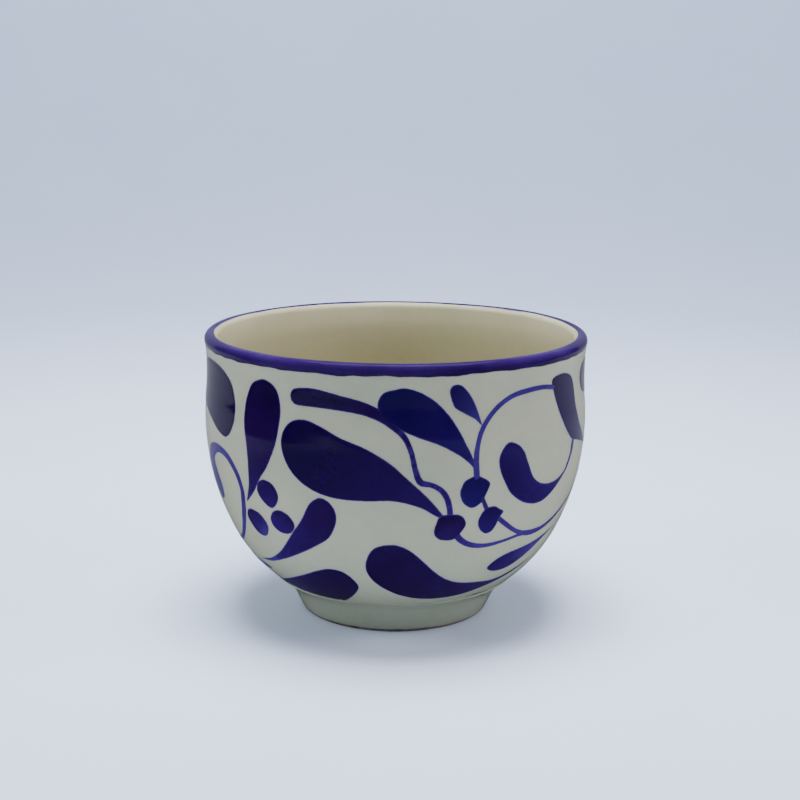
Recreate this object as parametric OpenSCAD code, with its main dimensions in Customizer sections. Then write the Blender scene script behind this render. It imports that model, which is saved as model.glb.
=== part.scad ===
// Small handleless teacup: one fired clay piece, its glaze layers, and the brushed pigment on it.
// Millimetres, +Z up. The cup stands on the plane z = 0, its axis is the Z axis, its front faces -Y.

/* [Cup] */
// Widest diameter of the cup, at the belly
body_d = 85; // [78:1:102]
// Height from the table to the top of the lip
cup_h = 63.5; // [53:0.5:74]
// Share of the cup height at which the belly is widest
belly_share = 0.705; // [0.66:0.005:0.75]
// Radius of the belly curve as a share of the cup height
belly_arc_share = 0.865; // [0.8:0.005:0.95]
// Degrees below level at which the belly curve passes into the lower curve
lower_turn = 26.5; // [24:0.5:29]
// Degrees above level at which the belly curve passes into the waist under the lip
waist_turn = 5.5; // [4:0.5:7]
// Thickness of the wall with its glaze; the lip is rounded to half of it
wall_t = 3; // [2:0.1:4]
// Thickness of the floor over the hollow of the foot, with its glaze
floor_t = 4; // [3:0.1:6]

/* [Foot] */
// Diameter of the foot where it meets the table
foot_d = 41; // [34:0.5:43]
// Diameter of the foot where it meets the bowl
foot_top_d = 47.2; // [45:0.2:53]
// Height of the foot up to the crease under the bowl
foot_h = 6.4; // [5:0.1:8]
// Width of the ring the cup stands on
foot_ring_w = 3.6; // [3:0.1:6]
// Depth of the hollow inside the foot ring
foot_hollow = 4.2; // [3:0.1:4.8]
// Height of bare clay left at the bottom of the foot
bare_h = 0.8; // [0.6:0.1:1.6]
// Break on both edges of the standing ring
foot_edge = 0.4; // [0.2:0.1:0.5]

/* [Glaze and pigment] */
// Thickness of the glaze on the clay
glaze_t = 0.3; // [0.2:0.05:0.5]
// Thickness of the pigment on the glaze
paint_t = 0.1; // [0.08:0.01:0.2]
// Depth of the coloured band below the top of the lip, on the outside
band_h = 2.4; // [2.1:0.1:4]
// Gap left where one brush mark runs up to another
paint_gap = 0.05; // [0.03:0.01:0.1]

/* [Hidden] */
$fn = 180;
far = 300;
drawn_h = 63.5;
drawn_foot = 6.4;
deg_mm = body_d / 2 * PI / 180;

// Centres and radii of the wall curves, seen in a half section (x = distance from the axis, y = height).
// Radii are whole thousandths, so that curves which meet tangentially still meet after rounding.
function below(a) = [cos(a), -sin(a)];
function thousandths(v) = round(v * 1000) / 1000;
belly_r = body_d / 2;
belly_arc = thousandths(cup_h * belly_arc_share);
belly_c = [belly_r - belly_arc, cup_h * belly_share];
low_start = belly_c + belly_arc * below(lower_turn);
shoulder = [foot_top_d / 2, foot_h];
low_step = shoulder - low_start;
low_arc = thousandths(-(low_step * low_step) / (2 * (low_step * below(lower_turn))));
low_c = low_start - low_arc * below(lower_turn);
waist_arc = thousandths(cup_h * 0.815);
waist_start = belly_c + belly_arc * below(-waist_turn);
waist_c = waist_start + waist_arc * below(-waist_turn);
lip_r = wall_t / 2;
lip_turn = asin((cup_h - lip_r - waist_c.y) / (waist_arc + lip_r));
lip_c = waist_c + (waist_arc + lip_r) * below(180 + lip_turn);
band_turn = asin((cup_h - band_h - waist_c.y) / waist_arc);

// The hollow of the bowl: level floor, rounded corner, then the lower curve one wall further in
low_in = low_arc - wall_t;
floor_z = thousandths(max(foot_hollow + floor_t, foot_h + glaze_t + 0.8, low_c.y - low_in + 0.5));
clay_floor = floor_z - glaze_t - 0.3;
corner_r = thousandths(low_in / 2);
corner_up = low_c.y - floor_z - corner_r;
corner_out = sqrt((low_in - corner_r) * (low_in - corner_r) - corner_up * corner_up);
corner_c = [low_c.x + corner_out, floor_z + corner_r];
corner_turn = atan2(corner_up, corner_out);
floor_r = thousandths(corner_c.x);

// Lines across the wall where one curve passes into the next: [point towards the centre given, point beyond]
reach = wall_t + 5;
function seam(c, r, a) = [c + (r - reach) * below(a), c + (r + reach) * below(a)];
low_seam = seam(belly_c, belly_arc, lower_turn);
waist_seam = seam(belly_c, belly_arc, -waist_turn);
lip_seam = seam(waist_c, waist_arc, 180 + lip_turn);
corner_seam = seam(low_c, low_in, corner_turn);
band_seam = seam(waist_c, waist_arc, 180 + band_turn);
up = [0, 2 * reach];

// The foot
foot_r = foot_d / 2;
foot_in = foot_r - foot_ring_w;
foot_slope = (foot_top_d / 2 - foot_r) / foot_h;
foot_glaze = glaze_t * sqrt(1 + foot_slope * foot_slope);
function foot_side(z) = foot_r + foot_slope * z;

// Radius of the outer surface at a height
function surface_r(z) =
    z < low_start.y ? low_c.x + sqrt(low_arc * low_arc - (low_c.y - z) * (low_c.y - z)) :
    z < waist_start.y ? belly_c.x + sqrt(belly_arc * belly_arc - (belly_c.y - z) * (belly_c.y - z)) :
    waist_c.x - sqrt(waist_arc * waist_arc - (waist_c.y - z) * (waist_c.y - z));

// Height on this cup of a height drawn for the standard cup
function drawn_z(z) = foot_h + (z - drawn_foot) * (cup_h - foot_h) / (drawn_h - drawn_foot);

// Smooth curve from b to c, with a and d as the points beside them
function smooth(a, b, c, d, t) =
    b + 0.5 * t * (c - a) + t * t * (a - 2.5 * b + 2 * c - 0.5 * d)
    + t * t * t * (1.5 * (b - c) + 0.5 * (d - a));
function at(p, i) = p[(i + len(p)) % len(p)];
function held(p, i) = p[max(0, min(len(p) - 1, i))];

// Closed outline of a leaf or bead from points [degrees round the cup, height]
function leaf(p, n = 3) = [
    for (i = [0 : len(p) - 1])
        for (s = [0 : n - 1])
            smooth(at(p, i - 1), at(p, i), at(p, i + 1), at(p, i + 2), s / n)
];

// Closed outline of a vine from points [degrees, height, width]
function vine_path(p, n) = [
    for (i = [0 : len(p) - 2])
        for (s = [0 : (i == len(p) - 2 ? n : n - 1)])
            smooth(held(p, i - 1), p[i], p[i + 1], held(p, i + 2), s / n)
];
function along(p, i) =
    let (d = [(held(p, i + 1).x - held(p, i - 1).x) * deg_mm, held(p, i + 1).y - held(p, i - 1).y])
    d / norm(d);
function set_off(q, d, w) = [q.x + d.x * w / deg_mm, q.y + d.y * w];
function vine_side(p, w) = [
    for (i = [0 : len(p) - 1])
        let (d = along(p, i))
        set_off(p[i], [-d.y, d.x], w * p[i].z / 2)
];
function vine_end(q, d) = [
    set_off(q, [d.x - d.y, d.y + d.x] / sqrt(2), q.z / 2),
    set_off(q, d, q.z / 2),
    set_off(q, [d.x + d.y, d.y - d.x] / sqrt(2), q.z / 2)
];
function backward(p) = [for (i = [len(p) - 1 : -1 : 0]) p[i]];
function vine(p, n = 3) =
    let (s = vine_path(p, n), e = len(s) - 1)
    concat(
        vine_side(s, 1),
        vine_end(s[e], along(s, e)),
        backward(vine_side(s, -1)),
        vine_end(s[0], -along(s, 0))
    );

// The same outline set outwards by g
function turned(p, i = 0, sum = 0) =
    i == len(p) ? sign(sum) : turned(p, i + 1, sum + at(p, i).x * at(p, i + 1).y - at(p, i + 1).x * at(p, i).y);
function grown(p, g) =
    let (w = turned(p))
    [
        for (i = [0 : len(p) - 1])
            let (d = [(at(p, i + 1).x - at(p, i - 1).x) * deg_mm, at(p, i + 1).y - at(p, i - 1).y])
            set_off(p[i], w * [d.y, -d.x] / norm(d), g)
    ];

// An outline as it looks from straight in front of the direction `face`
function seen(p, face) = [
    for (q = p)
        let (z = max(foot_h + 0.1, drawn_z(q.y)))
        [surface_r(z) * sin(q.x - face), drawn_z(q.y)]
];

module disc(c, r) {
    near = [thousandths(c.x), thousandths(c.y)];
    translate(near)
        translate(c - near)
            circle(r = r);
}

module arc_band(c, outer, inner, edges) {
    intersection() {
        difference() {
            disc(c, outer);
            disc(c, inner);
        }
        polygon(edges);
    }
}

// The layer between two depths under the outer surface, each stretch of it between two seams
module waist_layer(top, bottom, start = waist_seam) {
    arc_band(waist_c, waist_arc + bottom, waist_arc + top, [start[0], start[1], lip_seam[0], lip_seam[1]]);
}

module belly_layer(top, bottom) {
    arc_band(belly_c, belly_arc - top, belly_arc - bottom, [low_seam[0], low_seam[1], waist_seam[1], waist_seam[0]]);
}

module low_layer(top, bottom) {
    arc_band(low_c, low_arc - top, low_arc - bottom, [
        low_seam[0],
        low_seam[1],
        [low_seam[1].x, foot_h],
        [shoulder.x - 1, foot_h]
    ]);
}

module outer_layer(top, bottom) {
    union() {
        waist_layer(top, bottom);
        belly_layer(top, bottom);
        low_layer(top, bottom);
    }
}

// Rounded top of the lip: `side` is 1 for its outer half and -1 for its inner half
module crown(outer, inner, side) {
    intersection() {
        arc_band(lip_c, outer, inner, [lip_seam[0], lip_seam[1], lip_seam[1] + up, lip_seam[0] + up]);
        translate([side > 0 ? thousandths(lip_c.x) : 0, 0])
            square([side > 0 ? body_d : thousandths(lip_c.x), 2 * cup_h]);
    }
}

module bowl_hollow(o) {
    union() {
        disc(corner_c, corner_r + o);
        translate([-1, floor_z - o])
            square([floor_r + 1, cup_h]);
        intersection() {
            disc(low_c, low_in + o);
            polygon([
                corner_seam[0],
                corner_seam[1],
                [corner_seam[1].x + far, corner_seam[1].y],
                [corner_seam[1].x + far, cup_h],
                [corner_seam[0].x, cup_h]
            ]);
        }
    }
}

module bowl_clay() {
    color([0.80, 0.74, 0.64])
        rotate_extrude()
            union() {
                arc_band(lip_c, lip_r - glaze_t, 0, [lip_seam[0], lip_seam[1], lip_seam[1] + up, lip_seam[0] + up]);
                waist_layer(glaze_t, wall_t - glaze_t);
                belly_layer(glaze_t, wall_t - glaze_t);
                intersection() {
                    difference() {
                        disc(low_c, low_arc - glaze_t);
                        bowl_hollow(glaze_t);
                    }
                    polygon([
                        low_seam[0],
                        low_seam[1],
                        [low_seam[1].x, foot_h],
                        [0, foot_h],
                        [0, low_seam[0].y]
                    ]);
                }
                translate([0, foot_hollow + glaze_t])
                    square([foot_in, clay_floor - foot_hollow - glaze_t]);
                translate([0, foot_h])
                    square([shoulder.x - 1, clay_floor - foot_h]);
            }
}

module foot_ring() {
    color([0.62, 0.55, 0.46])
        rotate_extrude()
            polygon([
                [foot_in, foot_edge],
                [foot_in + foot_edge, 0],
                [foot_r - foot_edge, 0],
                [foot_side(foot_edge), foot_edge],
                [foot_side(bare_h), bare_h],
                [foot_side(bare_h) - foot_glaze, bare_h],
                [foot_side(foot_h) - foot_glaze, foot_h],
                [foot_in, foot_h]
            ]);
}

module outside_glaze() {
    color([0.70, 0.73, 0.70])
        rotate_extrude()
            union() {
                outer_layer(0, glaze_t);
                crown(lip_r, lip_r - glaze_t, 1);
            }
}

module inside_glaze() {
    color([0.80, 0.78, 0.70])
        rotate_extrude()
            union() {
                crown(lip_r, lip_r - glaze_t, -1);
                waist_layer(wall_t - glaze_t, wall_t);
                belly_layer(wall_t - glaze_t, wall_t);
                arc_band(low_c, low_in + glaze_t, low_in, [
                    low_seam[0],
                    low_seam[1],
                    corner_seam[1],
                    corner_seam[0]
                ]);
                arc_band(corner_c, corner_r + glaze_t, corner_r, [
                    corner_seam[0],
                    corner_seam[1],
                    [floor_r, floor_z - reach],
                    [floor_r, corner_seam[0].y]
                ]);
                translate([0, floor_z - glaze_t])
                    square([floor_r, glaze_t]);
            }
}

module foot_glaze() {
    color([0.55, 0.60, 0.57])
        rotate_extrude()
            polygon([
                [foot_side(bare_h), bare_h],
                [foot_side(foot_h), foot_h],
                [foot_side(foot_h) - foot_glaze, foot_h],
                [foot_side(bare_h) - foot_glaze, bare_h]
            ]);
}

module underside_glaze() {
    color([0.66, 0.69, 0.66])
        rotate_extrude()
            polygon([
                [0, foot_hollow],
                [0, foot_hollow + glaze_t],
                [foot_in, foot_hollow + glaze_t],
                [foot_in, bare_h],
                [foot_in - glaze_t, bare_h],
                [foot_in - glaze_t, foot_hollow]
            ]);
}

module rim_band() {
    color([0.13, 0.11, 0.42])
        rotate_extrude()
            union() {
                arc_band(lip_c, lip_r + paint_t, lip_r, [
                    lip_seam[0],
                    lip_seam[1],
                    lip_seam[1] + up,
                    lip_seam[0] + up
                ]);
                waist_layer(-paint_t, 0, [band_seam[1], band_seam[0]]);
            }
}

// One brush mark: the outlines in `marks`, less the ones in `keep_clear`, as a thin layer on the glaze
module brushed(marks, face, keep_clear = []) {
    rotate([0, 0, face])
        intersection() {
            rotate_extrude()
                outer_layer(-paint_t, 0);
            rotate([90, 0, 0])
                linear_extrude(height = body_d)
                    difference() {
                        union() {
                            for (m = marks)
                                polygon(seen(m, face));
                        }
                        for (k = keep_clear)
                            polygon(seen(grown(k, paint_gap), face));
                    }
        }
}

module cobalt() {
    color([0.09, 0.07, 0.30])
        children();
}

module half_turn() {
    rotate([0, 0, 180])
        children();
}

// Outlines, as degrees round the cup from the front (to the right is plus) and height on the standard cup
edge_leaf_left = leaf([
    [-52.3, 50.5], [-53.5, 46.5], [-57, 44], [-62, 44.3], [-70, 46.5], [-80, 48], [-92, 47.5],
    [-102, 44.5], [-96, 51], [-86, 56.5], [-76, 59], [-66, 59.2], [-59, 58], [-54.5, 55.5]
]);
tall_leaf = leaf([
    [-39, 58.5], [-35.2, 57], [-33.6, 53.5], [-33.8, 49.5], [-35.2, 44.8], [-38.5, 40], [-41.5, 37.3],
    [-45, 33.8], [-50, 30.8], [-47.4, 35], [-46.6, 40], [-46.9, 44], [-48, 48.5], [-47.6, 53],
    [-45.2, 56.8], [-42, 58.2]
]);
hook_vine = vine([
    [-70, 31.5, 7], [-72, 35.5, 6.4], [-70, 38.8, 4], [-64, 40.6, 2.2], [-57.5, 39.9, 1.9],
    [-53, 37, 1.9], [-51.3, 33.5, 1.8], [-52.3, 30, 1.9], [-54.8, 26.4, 1.8], [-59, 22.8, 1.4],
    [-65, 20, 1.2], [-73, 18.3, 1], [-82, 17.6, 0.8]
], 2);
berry_high = leaf([
    [-39.6, 37.3], [-36.6, 36.4], [-35.2, 34.2], [-36.6, 31.9], [-39, 30.9], [-42.2, 32.2],
    [-43.8, 34.4], [-42.4, 36.6]
]);
berry_low = leaf([
    [-48, 29.5], [-44.4, 28.8], [-42.2, 26.4], [-44, 23.9], [-47, 23.3], [-50, 24.3], [-52, 27],
    [-50.6, 29]
]);
berry_side = leaf([
    [-35.6, 31], [-32.4, 30], [-31, 27.9], [-33, 25.9], [-36.4, 25.3], [-39.4, 26.2], [-40.5, 28.2],
    [-38.6, 30.3]
]);
low_leaf = leaf([
    [-21.5, 35.3], [-18.4, 34.4], [-16.7, 32], [-17.3, 29.2], [-20, 26], [-25, 23.6], [-32, 21],
    [-40, 18.6], [-49, 16.6], [-58, 16.1], [-49, 17.6], [-42, 20], [-37, 22.9], [-32.5, 26.3],
    [-28.5, 29.6], [-25, 33.6]
]);
base_leaf_left = leaf([
    [-13, 13.8], [-14.6, 16.3], [-18, 18], [-22.5, 18.3], [-28, 17.2], [-36, 15], [-45, 12.9],
    [-54, 11.2], [-64, 9.6], [-52, 8.6], [-42, 7.5], [-34, 7.1], [-27, 7.5], [-21, 9], [-16, 11.2]
]);
slim_leaf = vine([
    [-28, 55.9, 3.8], [-23, 56, 4.1], [-16, 55.4, 3.4], [-9, 54.5, 2.9], [-4, 53, 2.4],
    [0, 50.7, 1.6], [2.8, 48.6, 1.4], [4.6, 45.5, 1.3], [5.7, 42, 1.4], [7.2, 39.4, 1.6],
    [10.5, 38.7, 1.3], [13.5, 37.2, 1.4], [15.3, 34.8, 1.5], [16.3, 31.5, 1.5]
], 2);
great_leaf = leaf([
    [-33.3, 46], [-32.4, 48.8], [-29.8, 50.8], [-25.5, 51.4], [-20.5, 50.3], [-15, 48.4], [-9, 46.8],
    [-4, 44.9], [0, 42.8], [4, 40], [8, 37.2], [12, 34], [15, 31], [12, 31.7], [8, 33.5], [4, 34.6],
    [-1, 35.3], [-8, 35.1], [-15, 35.2], [-21, 35.9], [-26, 37.5], [-30, 40], [-32.4, 43]
], 2);
upper_leaf = leaf([
    [-4.9, 55.2], [-3.4, 57.7], [0, 58.6], [3, 58.9], [7, 58], [11, 56.2], [14.5, 53.6],
    [17.5, 50.5], [20, 47], [22, 44], [23.2, 41], [20.5, 43], [17, 45], [12, 47], [7, 48.4],
    [3, 49.6], [0, 50.8], [-3.4, 52.6]
], 2);
small_leaf = leaf([
    [15, 57.8], [16, 59.2], [18.4, 59.2], [20.8, 57.4], [23, 54.6], [24.8, 50.4], [22.5, 51.8],
    [19.5, 53.1], [16.4, 54.6]
]);
loop_vine = vine([
    [23.3, 39.6, 1.6], [22.9, 43.5, 1.5], [23.3, 46.5, 1.3], [24.5, 49.3, 1.3], [27, 52, 1.3],
    [30.5, 54.3, 1.3], [35, 55.9, 1.3], [41, 56.5, 1.3], [47, 56.5, 1.2], [53, 55.8, 1.2]
]);
side_leaf = leaf([
    [50.7, 57.4], [53, 58.4], [58, 58.4], [62.5, 57.2], [65.2, 54.5], [66.5, 50.8], [68.5, 47.5],
    [72, 44.5], [77, 41.8], [84, 39.4], [75, 40.8], [68, 42.3], [63, 43.2], [59.5, 45.3],
    [56.5, 48], [54, 51.3], [52, 54.6]
], 2);
curl = leaf([
    [33.3, 46.4], [31, 45], [30, 43], [30.6, 40.5], [32.5, 37.8], [35, 35.2], [39, 33], [43, 31.8],
    [47, 31.3], [51.5, 31.8], [57, 34.3], [61.5, 37.2], [64.2, 40.4], [65, 43.4], [63, 43.4],
    [62, 40], [59, 36.8], [54.5, 35.5], [49.5, 35.6], [46, 36.5], [43.2, 38.2], [40.8, 41.4],
    [39, 44], [36.4, 45.8]
], 2);
bead_high = leaf([
    [20, 39.4], [23, 40.2], [25.5, 39.6], [27.8, 38.2], [26.9, 36], [25.7, 34.2], [22.8, 33],
    [19.8, 34.2], [18.5, 36.3], [18.8, 38]
]);
bead_low = leaf([
    [27.2, 32.7], [29.8, 33], [32, 32.2], [33.8, 31.3], [32.6, 30], [32, 28.4], [30.6, 26.9],
    [28.3, 26.6], [26, 28], [25.1, 29.8], [25.9, 31.6]
]);
bead_stem = vine([[25.4, 35.4, 1.2], [26.6, 33.6, 1.2], [28.2, 31.6, 1.4]]);
bead_left = leaf([
    [13, 31.8], [16, 32.2], [19.3, 31.8], [21, 30.6], [21.5, 29.2], [20.3, 27.6], [18.5, 26.2],
    [16, 25.9], [13.3, 26.4], [11.7, 27.8], [12, 30]
]);
trail_vine = vine([
    [31.5, 30.3, 1.3], [35, 28.4, 1.3], [39, 26.5, 1.2], [43.5, 25, 1.3], [49, 24.3, 1.6],
    [55, 24.5, 1.4], [61, 25.6, 1.3], [67, 27.4, 1.2], [73, 29.8, 1], [79, 32.6, 0.8], [83, 34.2, 0.7]
]);
under_vine = vine([
    [18.4, 27.6, 1.8], [20.6, 25.8, 1.6], [24.5, 24.3, 1.4], [30, 23.7, 1.2], [36.5, 24, 1],
    [42, 24.5, 1], [47, 24.5, 1]
]);
point_leaf = leaf([
    [33.8, 17.6], [36.2, 19.4], [40.5, 20.5], [46, 20.9], [52, 21.3], [58, 22], [66, 23.2],
    [59.5, 21], [55, 19.2], [50, 17.3], [45, 16.1], [40, 15.9], [36, 16.4]
]);
base_leaf = leaf([
    [-9.4, 18.8], [-8.9, 21.5], [-6.6, 24.2], [-3, 25.3], [1, 25.3], [5, 24], [9.5, 21.2],
    [14, 18.3], [19, 16], [25, 14.6], [33, 13.9], [41, 13.5], [48, 14.2], [54, 15.4], [61, 17.6],
    [54, 14.4], [47, 12.9], [40, 11.7], [31, 10.4], [22, 9.9], [14, 10], [7, 10.7], [1, 12],
    [-4, 13.8], [-7.8, 16.2]
], 2);
edge_leaf_right = leaf([
    [70.5, 55.8], [72, 58.3], [76, 59.3], [83, 58.6], [92, 55.8], [101, 51.2], [108, 46.5],
    [100, 48.2], [90, 50], [81, 51], [74, 52.2]
]);
base_dab = leaf([
    [36, 8.5], [39.5, 9.3], [45, 9], [53, 8.5], [61, 8.4], [53, 7.5], [46, 7], [41, 6.9],
    [37.5, 7.3]
]);
side_bud = leaf([
    [84.5, 35], [86, 38.5], [88.5, 41.6], [92, 43], [95, 41.6], [95.3, 38.6], [92.5, 36.6],
    [88, 35.4]
]);
side_low = leaf([
    [78, 19.4], [82, 21.4], [86, 24.2], [90, 26.2], [94, 25.8], [96, 23.4], [94, 21], [89, 19.6],
    [84, 18.9]
]);
thin_tail = vine([
    [-55, 13.9, 0.8], [-60, 14, 1.4], [-67, 13.9, 1.8], [-75, 14, 1.4], [-84, 14.6, 0.8]
]);

// Brush marks
module tall_leaf_mark() cobalt() brushed([tall_leaf], -41, [hook_vine, berry_high]);
module hook_vine_mark() cobalt() brushed([hook_vine], -62);
module berry_marks() cobalt() {
    brushed([berry_high], -39);
    brushed([berry_low], -47, [hook_vine]);
    brushed([berry_side], -36);
}
module low_leaf_mark() cobalt() brushed([low_leaf], -36, [berry_side, great_leaf]);
module base_leaf_left_mark() cobalt() brushed([base_leaf_left], -36);
module slim_leaf_mark() cobalt() brushed([slim_leaf], -6, [bead_left, upper_leaf]);
module great_leaf_mark() cobalt() brushed([great_leaf], -9, [bead_left, slim_leaf]);
module upper_leaf_mark() cobalt() brushed([upper_leaf], 9, [loop_vine, bead_high]);
module small_leaf_mark() cobalt() brushed([small_leaf], 20, [loop_vine]);
module loop_vine_mark() cobalt() brushed([loop_vine], 38, [side_leaf, bead_high]);
module side_leaf_mark() cobalt() brushed([side_leaf], 66);
module curl_mark() cobalt() brushed([curl], 48, [side_leaf]);
module bead_high_mark() cobalt() brushed([bead_high], 23);
module bead_low_mark() cobalt() brushed([bead_low, bead_stem], 28, [bead_high]);
module bead_left_mark() cobalt() brushed([bead_left], 17);
module trail_vine_mark() cobalt() brushed([trail_vine], 55, [bead_low]);
module under_vine_mark() cobalt() brushed([under_vine], 32, [bead_left, trail_vine]);
module point_leaf_mark() cobalt() brushed([point_leaf], 50);
module base_leaf_mark() cobalt() brushed([base_leaf], 24);
module thin_tail_mark() cobalt() brushed([thin_tail], -70);
module base_dab_mark() {
    color([0.16, 0.24, 0.20])
        brushed([base_dab], 48);
}

module edge_leaf_left_mark() cobalt() brushed([edge_leaf_left], -77);
module edge_leaf_right_mark() cobalt() brushed([edge_leaf_right], 90);
module side_bud_mark() cobalt() brushed([side_bud], 90);
module side_low_mark() cobalt() brushed([side_low], 88);

bowl_clay();
foot_ring();
outside_glaze();
inside_glaze();
foot_glaze();
underside_glaze();
rim_band();
tall_leaf_mark();  // front_tall_leaf
hook_vine_mark();  // front_hook_vine
berry_marks();  // front_berries
low_leaf_mark();  // front_low_leaf
base_leaf_left_mark();  // front_base_leaf_left
slim_leaf_mark();  // front_slim_leaf
great_leaf_mark();  // front_great_leaf
upper_leaf_mark();  // front_upper_leaf
small_leaf_mark();  // front_small_leaf
loop_vine_mark();  // front_loop_vine
side_leaf_mark();  // front_side_leaf
curl_mark();  // front_curl
bead_high_mark();  // front_bead_high
bead_low_mark();  // front_bead_low
bead_left_mark();  // front_bead_left
trail_vine_mark();  // front_trail_vine
under_vine_mark();  // front_under_vine
point_leaf_mark();  // front_point_leaf
base_leaf_mark();  // front_base_leaf
thin_tail_mark();  // front_thin_tail
base_dab_mark();  // front_base_dab
edge_leaf_left_mark();  // side_leaf_left
edge_leaf_right_mark();  // side_leaf_right
side_bud_mark();  // side_bud_right
half_turn() side_bud_mark();  // side_bud_left
side_low_mark();  // side_low_leaf_right
half_turn() side_low_mark();  // side_low_leaf_left
half_turn() tall_leaf_mark();  // back_tall_leaf
half_turn() hook_vine_mark();  // back_hook_vine
half_turn() berry_marks();  // back_berries
half_turn() low_leaf_mark();  // back_low_leaf
half_turn() base_leaf_left_mark();  // back_base_leaf_left
half_turn() slim_leaf_mark();  // back_slim_leaf
half_turn() great_leaf_mark();  // back_great_leaf
half_turn() upper_leaf_mark();  // back_upper_leaf
half_turn() small_leaf_mark();  // back_small_leaf
half_turn() loop_vine_mark();  // back_loop_vine
half_turn() side_leaf_mark();  // back_side_leaf
half_turn() curl_mark();  // back_curl
half_turn() bead_high_mark();  // back_bead_high
half_turn() bead_low_mark();  // back_bead_low
half_turn() bead_left_mark();  // back_bead_left
half_turn() trail_vine_mark();  // back_trail_vine
half_turn() under_vine_mark();  // back_under_vine
half_turn() point_leaf_mark();  // back_point_leaf
half_turn() base_leaf_mark();  // back_base_leaf
half_turn() base_dab_mark();  // back_base_dab
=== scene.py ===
"""Looks of a small handleless teacup: glaze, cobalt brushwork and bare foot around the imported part."""
import math

import bpy
import numpy as np
from mathutils import Matrix, Vector, noise
from mathutils.geometry import delaunay_2d_cdt


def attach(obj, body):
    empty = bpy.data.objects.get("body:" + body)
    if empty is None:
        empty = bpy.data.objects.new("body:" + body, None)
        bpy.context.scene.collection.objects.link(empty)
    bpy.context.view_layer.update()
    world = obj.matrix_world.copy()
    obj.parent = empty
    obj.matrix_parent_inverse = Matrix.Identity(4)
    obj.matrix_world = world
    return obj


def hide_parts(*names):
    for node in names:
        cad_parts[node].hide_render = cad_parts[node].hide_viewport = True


bl_info = {
    "name": "Painted teacup",
    "version": (1, 0, 0),
    "blender": (4, 5, 0),
    "location": "3D View > Sidebar > Teacup",
    "description": "Builds the glaze, the cobalt brushwork and the foot of a small handleless teacup",
    "category": "Object",
}

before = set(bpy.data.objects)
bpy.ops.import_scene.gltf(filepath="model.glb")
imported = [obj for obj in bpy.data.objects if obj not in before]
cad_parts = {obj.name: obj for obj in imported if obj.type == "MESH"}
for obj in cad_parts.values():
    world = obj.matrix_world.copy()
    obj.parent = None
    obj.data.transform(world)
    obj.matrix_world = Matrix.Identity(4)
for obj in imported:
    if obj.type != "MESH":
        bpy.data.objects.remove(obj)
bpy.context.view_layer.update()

MM = 0.001


# ---------------------------------------------------------------- sizes of the wall, in millimetres

BODY_D = 85.0
CUP_H = 63.5
BELLY_SHARE = 0.705
BELLY_ARC_SHARE = 0.865
WAIST_ARC_SHARE = 0.815
LOWER_TURN = math.radians(26.5)
WAIST_TURN = math.radians(5.5)
WALL_T = 3.0
FLOOR_Z = 8.2
FOOT_D = 41.0
FOOT_TOP_D = 47.2
FOOT_H = 6.4
FOOT_RING_W = 3.6
FOOT_HOLLOW = 4.2
GLAZE_T = 0.3
DEGREE = BODY_D / 2 * math.pi / 180


def below(turn):
    return np.array([math.cos(turn), -math.sin(turn)])


def arc(centre, radius, start, end, count, outward=1.0):
    """Points and outward normals on an arc of the half section; turns are radians below level."""
    rows = []
    for turn in np.linspace(start, end, count):
        direction = below(turn)
        rows.append(np.concatenate([centre + radius * direction, outward * direction]))
    return rows


def wall_section():
    """The half section of the cup's surface from the crease above the foot, over the lip, to the floor.
    Each row is radius, height and the two parts of the surface normal."""
    belly_r = BODY_D / 2
    belly_arc = CUP_H * BELLY_ARC_SHARE
    belly_c = np.array([belly_r - belly_arc, CUP_H * BELLY_SHARE])
    low_start = belly_c + belly_arc * below(LOWER_TURN)
    step = np.array([FOOT_TOP_D / 2, FOOT_H]) - low_start
    low_arc = -(step @ step) / (2 * (step @ below(LOWER_TURN)))
    low_c = low_start - low_arc * below(LOWER_TURN)
    waist_arc = CUP_H * WAIST_ARC_SHARE
    waist_c = belly_c + (belly_arc + waist_arc) * below(-WAIST_TURN)
    lip_r = WALL_T / 2
    lip_turn = math.asin((CUP_H - lip_r - waist_c[1]) / (waist_arc + lip_r))
    lip_c = waist_c + (waist_arc + lip_r) * below(math.pi + lip_turn)
    crease_turn = math.asin((low_c[1] - FOOT_H) / low_arc)
    outer = arc(low_c, low_arc, crease_turn, LOWER_TURN, 34)[:-1]
    outer += arc(belly_c, belly_arc, LOWER_TURN, -WAIST_TURN, 50)[:-1]
    outer += arc(waist_c, waist_arc, math.pi - WAIST_TURN, math.pi + lip_turn, 20, -1.0)[:-1]
    outer += arc(lip_c, lip_r, lip_turn, -math.pi / 2, 14)
    low_in = low_arc - WALL_T
    corner_r = low_in / 2
    corner_up = low_c[1] - FLOOR_Z - corner_r
    corner_out = math.sqrt((low_in - corner_r) ** 2 - corner_up ** 2)
    corner_c = np.array([low_c[0] + corner_out, FLOOR_Z + corner_r])
    corner_turn = math.atan2(corner_up, corner_out)
    inner = arc(lip_c, lip_r, -math.pi / 2, -math.pi + lip_turn, 14)[:-1]
    inner += arc(waist_c, waist_arc + WALL_T, math.pi + lip_turn, math.pi - WAIST_TURN, 20)[:-1]
    inner += arc(belly_c, belly_arc - WALL_T, -WAIST_TURN, LOWER_TURN, 44, -1.0)[:-1]
    inner += arc(low_c, low_in, LOWER_TURN, corner_turn, 16, -1.0)[:-1]
    inner += arc(corner_c, corner_r, corner_turn, math.pi / 2, 20, -1.0)[:-1]
    for radius in np.linspace(corner_c[0], 0.4, 16):
        inner.append(np.array([radius, FLOOR_Z, 0.0, 1.0]))
    return np.array(outer), np.array(inner)


OUTER, INNER = wall_section()

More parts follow.
